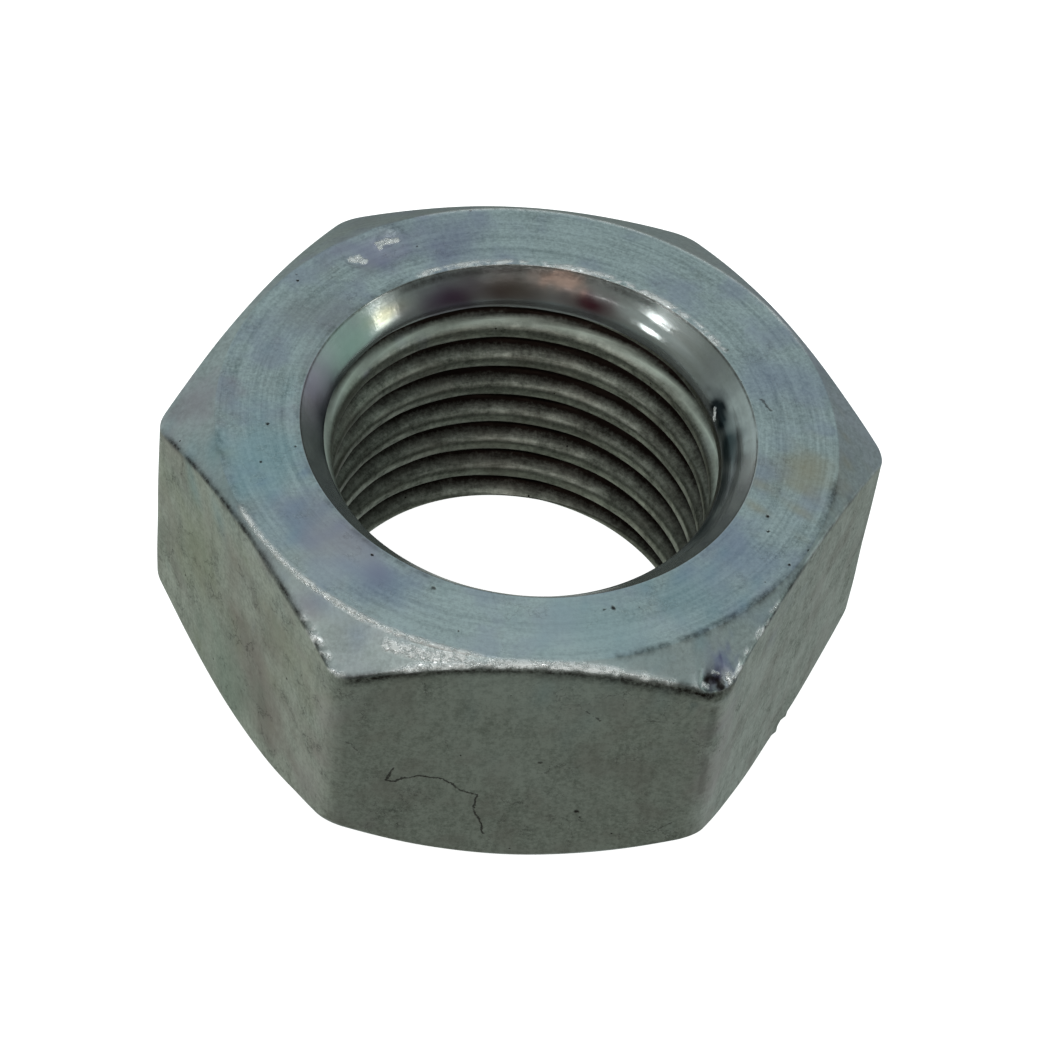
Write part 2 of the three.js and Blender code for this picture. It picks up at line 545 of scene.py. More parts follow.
@dataclass
class HexNut:
    """The whole nut: its skin, the marks of its making and handling, and its finishes.

    Points are in millimetres from the middle of the lower face. Dents are where it was knocked.
    Bands are painted glints on its scuffed edges, or grime and painted shade along them; colour
    patches are tints of its plate, and painted reflections and painted light.
    """

    sizes: NutSizes
    flat_waviness: float = 0.02
    face_waviness: float = 0.006
    dents: tuple[Dent, ...] = (
        Dent((-7.5, 10.9, 16.0), 1.25, 0.16, 0.05),
        Dent((-8.1, 10.2, 16.0), 0.45, 0.12, 0.05),
        Dent((-6.5, 11.8, 16.0), 0.5, 0.1, 0.05),
        Dent((8.3, -14.5, 14.8), 0.6, 0.25, 0.1),
        Dent((7.8, -14.6, 14.9), 0.35, 0.08, 0.05),
        Dent((13.5, -6.6, 2.3), 0.35, 0.15, 0.1),
    )
    mouth_squeeze: float = 2.6
    # The first flank below the mouth takes a painted highlight in this pale colour.
    flank_highlight: str = "dde6da"
    flank_highlight_share: float = 0.9
    flank_width: float = 0.12
    # Painted shade with some grime in the thread's grooves, and painted shade halfway down the bore.
    root_dirt_and_shade: float = 1.25
    root_dirt_and_shade_radius: float = 9.08
    root_dirt_and_shade_fade: float = 0.7
    bore_shade: float = 0.12
    bore_shade_height: float = 8.5
    bore_shade_reach: float = 3.0
    # Painted glints: near white painted along scuffed edges and the mouth's rim, where they catch the
    # light.
    glint_bands: tuple[Band, ...] = (
        Band(Edge.FLAT_HEAD, 246, 294, 0.14, 0.19, 2.2, 0.7, 0.7),
        Band(Edge.FLAT_HEAD, 229, 242, 0.15, 0.24, 1.9, 1.2, 0.45),
        Band(Edge.FLAT_HEAD, 300, 318, 0.1, 0.14, 1.8, 1.7, 0.35),
        Band(Edge.FLAT_HEAD, 325, 358, 0.05, 0.08, 0.4, 0.8, 0.7),
        Band(Edge.FACE_CIRCLE, 205, 262, 0.0, 0.12, 2.3, 0.6, 0.7),
        Band(Edge.FACE_CIRCLE, 20, 112, 0.0, 0.1, 0.9, 0.4, 2.5),
        Band(Edge.MOUTH_RIM, 26, 120, -0.19, 0.15, 2.3, 0.95, 0.4),
    )
    # Dark bands along edges; those on the front flat's head, 238 to 302 degrees, are a painted dark
    # reflection under its rounded edge.
    dirt_and_shade_bands: tuple[Band, ...] = (
        Band(Edge.FLAT_HEAD, 180, 239, 0.02, 0.18, 1.0, 0.45, 0.5),
        Band(Edge.FLAT_HEAD, 239, 302, -0.2, 0.3, 1.1, 0.15, 1.6),
        Band(Edge.FLAT_HEAD, 238, 250, 0.0, 0.2, 0.9, 0.3, 1.0),
        Band(Edge.FLAT_HEAD, 266, 298, -0.34, 0.34, 0.85, 0.35, 1.4),
        Band(Edge.FLAT_HEAD, 289, 301, 0.0, 0.2, 0.9, 0.3, 1.0),
        Band(Edge.FLAT_HEAD, 300, 358, -0.02, 0.18, 0.9, 0.7, 0.9),
        Band(Edge.FACE_CIRCLE, 183, 215, 0.05, 0.2, 0.5, 0.9, 0.5),
        Band(Edge.FACE_CIRCLE, 282, 350, 0.0, 0.2, 0.75, 0.85, 0.6),
        Band(Edge.MOUTH_RIM, 0, 360, 0.05, 0.05, 0.9, 0.2, 2.0),
        Band(Edge.MOUTH_RIM, 50, 128, 0.24, 0.22, 0.85, 0.25, 2.0),
        Band(Edge.MOUTH_RIM, 120, 250, -0.15, 0.14, 0.45, 0.8, 0.6),
        Band(Edge.FLAT_FOOT, 0, 360, 0.0, 0.15, 0.35, 0.8, 1.5),
    )
    # Colour patches: passivate tints, with painted reflections and painted light marked below.
    tints_and_sheens: tuple[ColourPatch, ...] = (
        ColourPatch((-10.6, -7.0, 16.0), 1.2, "8698b8", 0.5),
        ColourPatch((-7.0, -10.6, 16.0), 1.5, "8494b6", 0.55),
        ColourPatch((9.6, -8.2, 16.0), 1.9, "90a0bc", 0.5),
        ColourPatch((-3.5, 11.9, 16.0), 2.0, "8a8cab", 0.5),
        ColourPatch((-7.3, 11.0, 16.0), 1.5, "a8a6bc", 0.7),
        ColourPatch((13.1, -2.5, 16.0), 1.5, "b3a583", 0.6),
        ColourPatch((12.0, 3.4, 16.0), 1.7, "8d96b4", 0.45),
        ColourPatch((-8.4, -8.1, 16.0), 1.9, "a596a4", 0.5),
        ColourPatch((-12.6, -3.4, 16.0), 2.2, "8fbac6", 0.5),
        ColourPatch((-15.6, 0.5, 15.5), 1.6, "a99ea6", 0.55),
        ColourPatch((-9.5, 6.0, 16.0), 2.0, "9a9a9c", 0.5),
        ColourPatch((3.0, -12.5, 16.0), 2.5, "9cbcc2", 0.4),
        ColourPatch((7.0, -10.5, 16.0), 1.6, "84a8b4", 0.45),
        ColourPatch((8.2, -14.45, 14.85), 0.45, "4a3a52", 0.9),
        ColourPatch((8.4, -13.7, 15.2), 0.55, "7a82b0", 0.6),
        ColourPatch((-15.5, -4.0, 10.0), 2.5, "a9b094", 0.5),
        ColourPatch((-11.5, -9.0, 7.0), 2.5, "9a8f8a", 0.5),
        ColourPatch((-10.5, -11.5, 12.0), 2.2, "a9a992", 0.4),
        ColourPatch((-13.5, -7.0, 4.0), 2.5, "8fa698", 0.5),
        ColourPatch((-9.0, -13.0, 5.0), 1.8, "a39a9c", 0.5),
        # Patches in the mouth are painted reflections and highlights on the polished countersink.
        ColourPatch((-3.9, 9.2, 14.9), 1.9, "54405a", 0.9, mouth_reflection=True),
        ColourPatch((-0.6, 9.9, 15.1), 2.3, "5c5048", 0.9, mouth_reflection=True),
        ColourPatch((2.0, 10.2, 15.65), 0.9, "fbdccd", 1.5, mouth_reflection=True),
        ColourPatch((3.6, 9.2, 14.9), 1.2, "58303c", 1.1, mouth_reflection=True),
        ColourPatch((8.0, 6.8, 15.4), 1.6, "e4eaea", 0.6, mouth_reflection=True),
        ColourPatch((9.35, 2.4, 14.75), 0.8, "101c20", 2.0, mouth_reflection=True),
        ColourPatch((9.7, 0.0, 14.7), 1.3, "1f3538", 1.3, mouth_reflection=True),
        ColourPatch((9.25, -2.6, 14.5), 1.3, "263b3f", 1.2, mouth_reflection=True),
        ColourPatch((8.2, -5.0, 14.4), 1.4, "2a3e41", 0.9, mouth_reflection=True),
        ColourPatch((9.9, -3.4, 15.7), 2.6, "dadede", 0.7, mouth_reflection=True),
        ColourPatch((-9.9, 2.0, 15.6), 2.2, "d0cad8", 0.7, mouth_reflection=True),
        ColourPatch((-9.3, 1.0, 14.4), 2.2, "2c4042", 1.2, mouth_reflection=True),
        ColourPatch((-8.2, 5.0, 15.2), 1.6, "8fb0a4", 0.4, mouth_reflection=True),
        ColourPatch((-6.6, 7.2, 15.3), 0.9, "d8d0a0", 0.5, mouth_reflection=True),
        # These two are painted light on the front of the top face.
        ColourPatch((0.0, -12.9, 16.0), 5.0, "f0fcfa", 0.22),
        ColourPatch((-9.2, -9.6, 16.0), 3.0, "ecf6f6", 0.2),
        ColourPatch((9.0, -14.3, 12.0), 1.1, "c0b6b8", 0.5),
        ColourPatch((9.0, -14.3, 9.5), 1.1, "bab0b0", 0.5),
        ColourPatch((9.0, -14.3, 7.0), 1.1, "bcb2b2", 0.5),
        ColourPatch((-9.0, -14.3, 11.5), 1.0, "bcb4b6", 0.4),
        ColourPatch((-9.0, -14.3, 8.5), 1.0, "bab2b2", 0.35),
        ColourPatch((-13.3, -7.0, 12.5), 1.5, "a69c96", 0.4),
        ColourPatch((-12.2, -8.8, 9.0), 1.6, "a49a96", 0.4),
        ColourPatch((-11.4, -10.3, 5.6), 1.6, "a49a96", 0.4),
    )

    def build(self) -> bpy.types.Object:
        """Makes the nut's object from its grid, with painted glints, grime, painted shade and finishes.

        Returns:
            The nut, linked to the scene.
        """
        skin = NutSkin(self.sizes)
        skin.section()
        regions = np.array(skin.regions)
        points = skin.points()
        points = self.worked(points, outward(points), regions)
        made = self.grid_object("hex_nut", points, regions)
        # A painted highlight on the first flank, which also keeps the painted groove shade off it.
        lit_flank = self.first_flank_highlight(points, skin, regions)
        # Painted shade with some grime in the thread's grooves and halfway down the bore.
        groove_shading = self.groove_dirt_and_shade(points, regions) * (1 - lit_flank)
        # The edge attribute holds painted glints along scuffed edges.
        self.write(made.data, "edge", self.banded(self.glint_bands, skin, points))
        # The dark colour's share: grime and painted shade along edges and in the grooves.
        self.write(made.data, "dirt_and_shade", np.maximum(self.banded(self.dirt_and_shade_bands, skin, points), groove_shading))
        # Colour patches: tints, painted reflections and painted light.
        self.write(made.data, "tint_and_sheen", self.patch_colours(points, regions, lit_flank))
        for region in Region:
            made.data.materials.append(FINISHES[region].material())
        return made

    @staticmethod
    def write(mesh: bpy.types.Mesh, name: str, values: np.ndarray) -> None:
        """Stores one number, or one colour with its strength, for each point of the grid.

        Args:
            mesh: the grid's mesh.
            name: the attribute's name, which the materials read.
            values: rows by columns, or rows by columns by four for a colour.
        """
        if values.ndim == 2:
            attribute = mesh.attributes.new(name, "FLOAT", "POINT")
            attribute.data.foreach_set("value", values.astype(np.float32).ravel())
        else:
            attribute = mesh.attributes.new(name, "FLOAT_COLOR", "POINT")
            attribute.data.foreach_set("color", values.astype(np.float32).ravel())

    @staticmethod
    def banded(bands: tuple[Band, ...], skin: NutSkin, points: np.ndarray) -> np.ndarray:
        """The strongest of some bands at each place, from the distance past each one's edge.

        Args:
            bands: bands of painted glints, or of grime and painted shade.
            skin: the skin, for its angles and for the rows where its edges lie.
            points: the grid in millimetres.

        Returns:
            A strength of 0 or more for each point.
        """
        steps = np.linalg.norm(np.diff(points, axis=0, append=points[:1]), axis=-1)
        travelled = np.cumsum(steps, axis=0) - steps
        total = np.zeros(points.shape[:2])
        for band in bands:
            past = travelled - travelled[skin.edge_rows[band.edge]]
            past = past - steps.sum(axis=0) * np.round(past / steps.sum(axis=0))
            total = np.maximum(total, band.amount(past, skin.angle[None, :], points))
        return total

    def first_flank_highlight(self, points: np.ndarray, skin: NutSkin, regions: np.ndarray) -> np.ndarray:
        """A painted highlight on the first flank: a bell-shaped band that climbs along one full turn.

        Args:
            points: the grid in millimetres.
            skin: the skin, for its angles.
            regions: each row's region.

        Returns:
            How much of the painted highlight each point takes, from 0 to 1.
        """
        turn = np.mod(skin.angle + math.pi / 2, 2 * math.pi) - math.pi / 2
        middle = self.sizes.first_flank + turn * self.sizes.pitch / (2 * math.pi)
        band = np.exp(-(((points[..., 2] - middle[None, :]) / self.flank_width) ** 2))
        return band * (regions == Region.THREAD.value)[:, None]

    def groove_dirt_and_shade(self, points: np.ndarray, regions: np.ndarray) -> np.ndarray:
        """Grime with painted shade, more the deeper the groove, and a little painted shade halfway down.

        Args:
            points: the grid in millimetres.
            regions: each row's region.

        Returns:
            The grime and painted shade at each point, 0 outside the thread.
        """
        radius = np.hypot(points[..., 0], points[..., 1])
        in_thread = (regions == Region.THREAD.value)[:, None]
        from_middle = (points[..., 2] - self.bore_shade_height) / self.bore_shade_reach
        middle = self.bore_shade * np.exp(-(from_middle**2))
        groove = self.root_dirt_and_shade * np.clip((radius - self.root_dirt_and_shade_radius) / self.root_dirt_and_shade_fade, 0, 1)
        return (middle + groove) * in_thread

    def patch_colours(self, points: np.ndarray, regions: np.ndarray, lit_flank: np.ndarray) -> np.ndarray:
        """Mixes the colour patches: each is a bell curve of distance, broken up by a ripple.

        A patch in the mouth is a painted reflection, squeezed in height so that it runs along the
        polished band.

        Args:
            points: the grid in millimetres.
            regions: each row's region.
            lit_flank: the painted highlight on the first flank; it takes its own pale colour.

        Returns:
            A linear colour and its share, from 0 to 1, for each point.
        """
        total = np.zeros(points.shape[:2] + (4,))
        total[..., 3] = self.flank_highlight_share * lit_flank
        total[..., :3] = total[..., 3:] * np.array(linear(self.flank_highlight)[:3])
        mouth = (regions == Region.COUNTERSINK.value)[:, None]
        for number, tint_and_sheen in enumerate(self.tints_and_sheens):
            squeeze = (1.0, 1.0, self.mouth_squeeze if tint_and_sheen.mouth_reflection else 1.0)
            away = np.linalg.norm((points - np.array(tint_and_sheen.centre)) * squeeze, axis=-1) / tint_and_sheen.radius
            away = away * (1 + tint_and_sheen.unevenness * ripple(points, tint_and_sheen.radius, 6, seed=20 + number))
            share = tint_and_sheen.strength * np.exp(-(away**2)) * (mouth == tint_and_sheen.mouth_reflection)
            total[..., :3] += share[..., None] * np.array(linear(tint_and_sheen.colour)[:3])
            total[..., 3] += share
        total[..., :3] /= np.maximum(total[..., 3:], 1e-6)
        total[..., 3] = np.minimum(total[..., 3], 1.0)
        return total

    def worked(self, points: np.ndarray, normals: np.ndarray, regions: np.ndarray) -> np.ndarray:
        """Moves the skin along its normals by the unevenness of forging and by the dents.

        Args:
            points: the grid in millimetres.
            normals: outward unit vectors.
            regions: each row's region; the thread stays even.

        Returns:
            The moved grid.
        """
        is_flat = (regions == Region.DRAWN_FLAT.value)[:, None]
        is_open = (regions != Region.THREAD.value)[:, None]
        lift = self.flat_waviness * ripple(points, 7.0, 14, seed=3) * is_flat
        lift = lift + self.face_waviness * ripple(points, 6.0, 14, seed=5) * is_open
        for dent in self.dents:
            lift = lift + dent.height(points)
        return points + normals * lift[..., None]

    @staticmethod
    def grid_object(name: str, points: np.ndarray, regions: np.ndarray) -> bpy.types.Object:
        """Puts a grid that is closed both ways into a mesh object, in metres.

        Args:
            name: the object's name.
            points: rows by columns by three, in millimetres.
            regions: each row's material index, for the band of faces that follows it.

        Returns:
            The object, linked to the scene.
        """
        rows, columns, _ = points.shape
        row, column = np.meshgrid(np.arange(rows), np.arange(columns), indexing="ij")
        next_row, next_column = (row + 1) % rows, (column + 1) % columns
        corners = [(row, column), (row, next_column), (next_row, next_column), (next_row, column)]
        faces = np.stack([r * columns + c for r, c in corners], axis=-1).reshape(-1, 4)
        mesh = bpy.data.meshes.new(name)
        mesh.vertices.add(rows * columns)
        mesh.vertices.foreach_set("co", (points * MM).astype(np.float32).ravel())
        mesh.loops.add(faces.size)
        mesh.loops.foreach_set("vertex_index", faces.astype(np.int32).ravel())
        mesh.polygons.add(len(faces))
        mesh.polygons.foreach_set("loop_start", np.arange(0, faces.size, 4, dtype=np.int32))
        mesh.polygons.foreach_set("material_index", np.repeat(regions, columns).astype(np.int32))
        mesh.polygons.foreach_set("use_smooth", np.ones(len(faces), dtype=bool))
        mesh.update(calc_edges=True)
        mesh.validate()
        made = bpy.data.objects.new(name, mesh)
        bpy.context.scene.collection.objects.link(made)
        return made


# ---- finishes ----------------------------------------------------------------------------


@dataclass(frozen=True)
class Layers:
    """The patterns that one finish is mixed from; each is a number that varies over the nut."""

    clouds: Socket
    grain: Socket
    fine: Socket
    film: Socket
    pits: Socket
    glint: Socket


@dataclass(frozen=True)
class ZincPlate:
    """Bright zinc over steel with a clear passivate, the base of every finish on the nut.

    Zinc plate is a soft bluish-grey metal. The clear passivate on it is thin enough to show
    faint oil-film colours, and handling leaves it cloudy, so no patch of it is one even tone.
    Lengths are in millimetres, and a scale is in marks for each millimetre.
    """

    name: str
    metal: str
    shade: str
    smooth: float
    rough: float
    cloud_size: float = 3.0
    cloud_depth: float = 0.5
    grain_scale: float = 4.0
    grain_depth: float = 0.25
    fine_scale: float = 4.5
    fine_depth: float = 0.3
    tint: str = "9a9cae"
    tint_size: float = 3.2
    tint_depth: float = 0.4
    tint_shift: Point = (37.0, 11.0, 23.0)
    metal_share: float = 1.0
    # The dark colour, for grime, painted shade and pits.
    dirt_shade_colour: str = "261e1a"
    dirt_shade_cover: float = 0.94
    dirt_shade_breakup: float = 0.4
    grain_relief: float = 0.004
    cloud_relief: float = 0.01
    pit_spacing: float = 2.2
    pit_size: float = 0.05
    pit_relief: float = 0.03
    pit_dullness: float = 0.3
    crackle: float = 0.0
    crackle_size: float = 2.4
    crackle_drift: float = 2.4
    mark_shake: float = 0.38
    bead_scale: float = 3.6
    # Near white painted where glints catch the light, made less metallic and glossier there.
    painted_glint: str = "fbfdfc"
    glint_haze: float = 0.5
    glint_gloss: float = 0.24
    burr_relief: float = 0.04
    dark_marks: tuple[Mark, ...] = ()
    glint_marks: tuple[Mark, ...] = ()

    def material(self) -> bpy.types.Material:
        """Builds the finish.

        Returns:
            A node material: clouds and grain mix the metal with its darker shade, pits, grime and
            painted shade are laid over that, and painted glints in near white go along the edges.
        """
        made = bpy.data.materials.new(self.name)
        made.use_nodes = True
        tree = made.node_tree
        shader = tree.nodes["Principled BSDF"]
        place = self.millimetres(tree)
        clouds = self.clouds(tree, place)
        layers = Layers(
            clouds=clouds,
            grain=self.grain(tree, place),
            fine=self.fine_grain(tree, place),
            film=self.film(tree, place),
            pits=self.flaws(tree, place, clouds),
            glint=self.glint_layer(tree, place),
        )
        metallic = add(
            tree, "Math", {0: layers.glint, 1: -self.glint_haze, 2: self.metal_share},
            operation="MULTIPLY_ADD", use_clamp=True,
        )
        tree.links.new(self.colour(tree, layers), shader.inputs["Base Color"])
        tree.links.new(self.roughness(tree, layers), shader.inputs["Roughness"])
        tree.links.new(self.relief(tree, layers), shader.inputs["Normal"])
        tree.links.new(metallic, shader.inputs["Metallic"])
        return made

    @staticmethod
    def millimetres(tree: Tree) -> Socket:
        """The place on the nut in millimetres, from its Object coordinates."""
        place = add(tree, "TexCoord", out="Object")
        return add(tree, "VectorMath", {0: place, "Scale": 1 / MM}, "Vector", operation="SCALE")

    @staticmethod
    def polar(tree: Tree, place: Socket, swirl: float, across: float, up: float) -> Socket:
        """A place that noise can be read at to give marks that run round the axis.

        Args:
            tree: the node tree.
            place: the place in millimetres.
            swirl: how fast the noise changes along the circles; small values draw long marks.
            across: marks for each millimetre of radius.
            up: marks for each millimetre of height.

        Returns:
            Cosine and sine of the turn times the swirl, and radius and height as scaled.
        """
        flat = add(tree, "VectorMath", {0: place, 1: (1.0, 1.0, 0.0)}, "Vector", operation="MULTIPLY")
        unit = add(tree, "VectorMath", {0: flat}, "Vector", operation="NORMALIZE")
        circle = add(tree, "VectorMath", {0: unit, "Scale": swirl}, "Vector", operation="SCALE")
        radius = add(tree, "VectorMath", {0: flat}, operation="LENGTH")
        height = add(tree, "SeparateXYZ", {0: place}, "Z")
        radial = add(tree, "Math", {0: radius, 1: across}, operation="MULTIPLY")
        raised = add(tree, "Math", {0: height, 1: up, 2: radial}, operation="MULTIPLY_ADD")
        lift = add(tree, "CombineXYZ", {"Z": raised}, "Vector")
        return add(tree, "VectorMath", {0: circle, 1: lift}, "Vector", operation="ADD")

    def clouds(self, tree: Tree, place: Socket) -> Socket:
        """Soft uneven patches of passivate.

        Args:
            tree: the node tree.
            place: the place in millimetres.

        Returns:
            The patches' strength, from 0 to 1.
        """
        noise = add(
            tree, "TexNoise",
            {"Vector": place, "Scale": 1 / self.cloud_size, "Detail": 5.0, "Roughness": 0.6}, "Fac",
        )
        return add(
            tree, "MapRange", {"Value": noise, "From Min": 0.3, "From Max": 0.7}, "Result",
            interpolation_type="SMOOTHSTEP",
        )

    def grain(self, tree: Tree, place: Socket) -> Socket:
        """Fine marks of how the surface was made, from 0 to 1: here an even matt grain."""
        inputs = {"Vector": place, "Scale": self.grain_scale, "Detail": 4.0, "Roughness": 0.65}
        return add(tree, "TexNoise", inputs, "Fac")

    def fine_grain(self, tree: Tree, place: Socket) -> Socket:
        """The plate's own crystal grain, drawn coarser than it is so that it shows."""
        inputs = {"Vector": place, "Scale": self.fine_scale, "Detail": 2.0, "Roughness": 0.8}
        return add(tree, "TexNoise", inputs, "Fac")

    def film(self, tree: Tree, place: Socket) -> Socket:
        """Where the passivate is thick enough to show its second colour: broad soft islands.

        Args:
            tree: the node tree.
            place: the place in millimetres.

        Returns:
            The share of the second colour, from 0 to the tint's depth.
        """
        moved = add(tree, "VectorMath", {0: place, 1: self.tint_shift}, "Vector", operation="ADD")
        noise = add(
            tree, "TexNoise",
            {"Vector": moved, "Scale": 1 / self.tint_size, "Detail": 3.0, "Roughness": 0.5}, "Fac",
        )
        return add(
            tree, "MapRange",
            {"Value": noise, "From Min": 0.46, "From Max": 0.68, "To Max": self.tint_depth}, "Result",
            interpolation_type="SMOOTHSTEP",
        )

    def pits(self, tree: Tree, place: Socket) -> Socket:
        """Small dark pits at the middle of the cells of a random pattern.

        Args:
            tree: the node tree.
            place: the place in millimetres.

        Returns:
            1 in a pit and 0 outside it.
        """
        warp = add(tree, "TexNoise", {"Vector": place, "Scale": 6.0, "Detail": 2.0}, "Color")
        moved = add(
            tree, "VectorMath", {0: warp, 1: (0.12, 0.12, 0.12), 2: place}, "Vector",
            operation="MULTIPLY_ADD",
        )
        away = add(tree, "TexVoronoi", {"Vector": moved, "Scale": 1 / self.pit_spacing}, "Distance")
        edge = self.pit_size / self.pit_spacing
        return add(
            tree, "MapRange",
            {"Value": away, "From Min": 0.6 * edge, "From Max": 1.6 * edge, "To Min": 1.0, "To Max": 0.0},
            "Result", interpolation_type="SMOOTHSTEP",
        )

    def flaws(self, tree: Tree, place: Socket, clouds: Socket) -> Socket:
        """Everything dark and sunk: random pits, a broken crackle and the nut's own marks.

        Args:
            tree: the node tree.
            place: the place in millimetres.
            clouds: the cloudy patches, where the crackle shows.

        Returns:
            The strongest of them, from 0 to 1.
        """
        total = self.pits(tree, place)
        if self.crackle:
            lines = self.hairlines(tree, place, clouds)
            total = add(tree, "Math", {0: total, 1: lines}, operation="MAXIMUM")
        if self.dark_marks:
            marks = self.marks(tree, place, self.dark_marks)
            total = add(tree, "Math", {0: total, 1: marks}, operation="MAXIMUM")
        return total

    def hairlines(self, tree: Tree, place: Socket, clouds: Socket) -> Socket:
        """Faint wandering hairlines: the borders of warped random cells, kept where it is cloudy.

        Args:
            tree: the node tree.
            place: the place in millimetres.
            clouds: the cloudy patches.

        Returns:
            The lines' strength, from 0 to the crackle's.
        """
        drift = (self.crackle_drift,) * 3
        warp = add(
            tree, "TexNoise", {"Vector": place, "Scale": 1.1, "Detail": 4.0, "Roughness": 0.62}, "Color"
        )
        moved = add(tree, "VectorMath", {0: warp, 1: drift, 2: place}, "Vector", operation="MULTIPLY_ADD")
        away = add(
            tree, "TexVoronoi", {"Vector": moved, "Scale": 1 / self.crackle_size}, "Distance",
            feature="DISTANCE_TO_EDGE",
        )
        reach = {"From Min": 0.008, "From Max": 0.03, "To Min": self.crackle, "To Max": 0.0}
        line = add(tree, "MapRange", {"Value": away, **reach}, "Result")
        kept = add(tree, "MapRange", {"Value": clouds, "From Min": 0.45, "From Max": 0.8}, "Result")
        return add(tree, "Math", {0: line, 1: kept}, operation="MULTIPLY")

    def marks(self, tree: Tree, place: Socket, marks: tuple[Mark, ...]) -> Socket:
        """Lines and spots, by the distance to the nearest stretch of each path.

        The place is first shaken by a fine noise, so that a straight stretch comes out ragged.

        Args:
            tree: the node tree.
            place: the place in millimetres.
            marks: the marks to draw.

        Returns:
            The strongest mark at each place, from 0 up.
        """
        shake = add(
            tree, "TexNoise", {"Vector": place, "Scale": 2.2, "Detail": 4.0, "Roughness": 0.7}, "Color"
        )
        centred = add(tree, "VectorMath", {0: shake, 1: (0.5, 0.5, 0.5)}, "Vector", operation="SUBTRACT")
        moved = add(
            tree, "VectorMath", {0: centred, 1: (self.mark_shake,) * 3, 2: place}, "Vector",
            operation="MULTIPLY_ADD",
        )
        total = None
        for mark in marks:
            for start, end in mark.stretches():
                line = self.stretch(tree, moved, mark, start, end)
                if total:
                    line = add(tree, "Math", {0: total, 1: line}, operation="MAXIMUM")
                total = line
        return total

    @staticmethod
    def stretch(tree: Tree, place: Socket, mark: Mark, start: Point, end: Point) -> Socket:
        """One straight stretch of a mark: the distance to the nearest point of it, as a soft line.

        Args:
            tree: the node tree.
            place: the shaken place in millimetres.
            mark: the mark, for its width and its strength.
            start: where the stretch begins.
            end: where it ends.

        Returns:
            The mark's strength on the line, and 0 beyond its width.
        """
        run = [e - s for s, e in zip(start, end)]
        square = max(sum(c * c for c in run), 1e-6)
        share = tuple(c / square for c in run)
        local = add(tree, "VectorMath", {0: place, 1: start}, "Vector", operation="SUBTRACT")
        along = add(tree, "VectorMath", {0: local, 1: share}, operation="DOT_PRODUCT")
        held = add(tree, "Clamp", {"Value": along}, "Result")
        nearest = add(tree, "VectorMath", {0: tuple(run), "Scale": held}, "Vector", operation="SCALE")
        away = add(tree, "VectorMath", {0: local, 1: nearest}, operation="DISTANCE")
        reach = {"From Min": 0.3 * mark.width, "From Max": mark.width}
        fall = {"To Min": mark.strength, "To Max": 0.0}
        return add(
            tree, "MapRange", {"Value": away, **reach, **fall}, "Result",
            interpolation_type="SMOOTHSTEP",
        )

    def glint_layer(self, tree: Tree, place: Socket) -> Socket:
        """Painted glints: along scuffed edges, broken into beads, and at the glint marks.

        Args:
            tree: the node tree.
            place: the place in millimetres.

        Returns:
            How strongly each place takes the painted glint; the colour and the metal hold it at 1.
        """
        # The edge attribute holds painted glints along scuffed edges.
        painted_glint = add(tree, "Attribute", out="Fac", attribute_name="edge")
        if self.glint_marks:
            marks = self.marks(tree, place, self.glint_marks)
            painted_glint = add(tree, "Math", {0: painted_glint, 1: marks}, operation="MAXIMUM")
        noise = add(
            tree, "TexNoise",
            {"Vector": place, "Scale": self.bead_scale, "Detail": 4.0, "Roughness": 0.75}, "Fac",
        )
        beads = add(
            tree, "MapRange",
            {"Value": noise, "From Min": 0.34, "From Max": 0.56, "To Min": 0.3, "To Max": 1.0}, "Result",
            interpolation_type="SMOOTHSTEP",
        )
        return add(tree, "Math", {0: painted_glint, 1: beads}, operation="MULTIPLY")

    def colour(self, tree: Tree, layers: Layers) -> Socket:
        """Metal darkened by clouds and grain, with patches, grime and painted shade, and painted glints.

        Args:
            tree: the node tree.
            layers: the finish's patterns.

        Returns:
            The surface's colour.
        """
        cloud_share = add(tree, "Math", {0: layers.clouds, 1: self.cloud_depth}, operation="MULTIPLY")
        spread = {"From Min": 0.35, "From Max": 0.68, "To Max": self.grain_depth}
        grain_share = add(tree, "MapRange", {"Value": layers.grain, **spread}, "Result")
        share = add(tree, "Math", {0: cloud_share, 1: grain_share}, operation="ADD")
        depth = {"To Min": -self.fine_depth, "To Max": self.fine_depth}
        speckle = add(
            tree, "MapRange", {"Value": layers.fine, "From Min": 0.3, "From Max": 0.7, **depth}, "Result"
        )
        share = add(tree, "Math", {0: share, 1: speckle}, operation="ADD", use_clamp=True)
        tint_and_sheen = add(tree, "Attribute", out="Color", attribute_name="tint_and_sheen")
        tone = linear(self.metal)
        # Patches hold tints and painted reflections; the dark colour paints grime and shade; the near
        # white paints glints.
        for factor, over in (
            (share, linear(self.shade)),
            (layers.film, linear(self.tint)),
            (tint_and_sheen.node.outputs["Alpha"], tint_and_sheen),
            (self.darkness(tree, layers), linear(self.dirt_shade_colour)),
            (layers.glint, linear(self.painted_glint)),
        ):
            mixed = {"Factor": factor, "A": tone, "B": over}
            tone = add(tree, "Mix", mixed, "Result", data_type="RGBA")
        return tone

